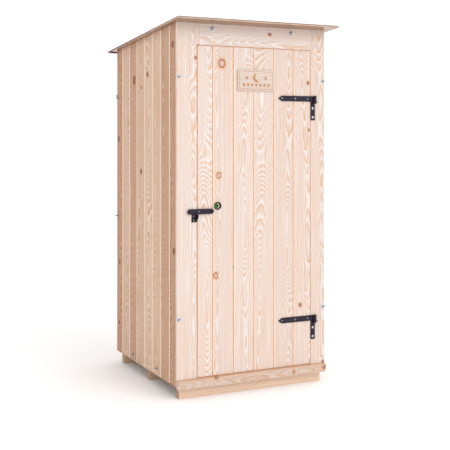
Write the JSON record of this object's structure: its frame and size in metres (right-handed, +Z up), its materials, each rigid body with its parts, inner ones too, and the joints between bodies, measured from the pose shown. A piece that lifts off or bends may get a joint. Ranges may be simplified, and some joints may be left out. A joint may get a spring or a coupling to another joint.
{
  "type": "wooden outhouse",
  "caption": "Boarded wooden outhouse: a hollow cabin with a floor, a strap-hinged plank door with a fall-bar latch, base beams and a thin sloping roof sheet.",
  "frame": {"origin": "at ground level under the middle of the roof sheet's plan", "axes": "+Z up, -Y towards the door side, +X to the right of someone facing the door"},
  "size_m": [1.05, 1.21, 2.16],
  "materials": {
    "beam_pine": "rough sawn, unfinished",
    "front_pine": "planed, unfinished",
    "side_pine": "planed, unfinished",
    "frame_pine": "planed, unfinished",
    "roof_board": "smooth phenolic film",
    "black_steel": "satin powder coat",
    "sign_wood": "planed plywood, burnt lines",
    "black_plastic": "smooth",
    "green_plastic": "smooth",
    "zinc_steel": "bright zinc"
  },
  "bodies": {
    "cabin": {"front_beam": "beam_pine", "middle_beam": "beam_pine", "back_beam": "beam_pine", "front_board_left": "front_pine", "front_board_right": "front_pine", "lintel_board": "front_pine", "front_sill": "front_pine", "left_wall": "side_pine", "right_wall": "side_pine", "back_wall": "side_pine", "floor_deck": "frame_pine", "left_floor_rail": "frame_pine", "right_floor_rail": "frame_pine", "door_post_left": "frame_pine", "door_post_right": "frame_pine", "door_header": "frame_pine", "left_top_rail": "frame_pine", "right_top_rail": "frame_pine", "back_top_rail": "frame_pine", "left_middle_rail": "frame_pine", "right_middle_rail": "frame_pine", "back_middle_rail": "frame_pine", "back_bottom_rail": "frame_pine", "roof_sheet": "roof_board", "hinge_plate_upper": "black_steel", "hinge_plate_lower": "black_steel", "latch_catch": "black_steel"},
    "door": {"door_panel": "front_pine", "door_ledge_top": "frame_pine", "door_ledge_middle": "frame_pine", "door_ledge_bottom": "frame_pine", "door_brace_upper": "frame_pine", "door_brace_lower": "frame_pine", "hinge_strap_upper": "black_steel", "hinge_strap_lower": "black_steel", "sign_board": "sign_wood", "indicator_ring": "black_plastic", "indicator_disc": "green_plastic", "bolt_case": "black_plastic", "bolt_rod": "zinc_steel", "thumb_turn": "black_plastic", "latch_base": "black_steel", "latch_pivot": "black_steel"},
    "latch_bar": {"latch_bar": "black_steel"}
  },
  "joints": [
    {"name": "door_swing", "type": "hinge", "parent": "cabin", "child": "door", "pos_m": [0.414, -0.512, 1.0575], "axis": [0, 0, 1], "range_deg": [0, 170]},
    {"name": "latch_lift", "type": "hinge", "parent": "door", "child": "latch_bar", "pos_m": [-0.277, -0.5075, 1.064], "axis": [0, 1, 0], "range_deg": [0, 60]}
  ]
}
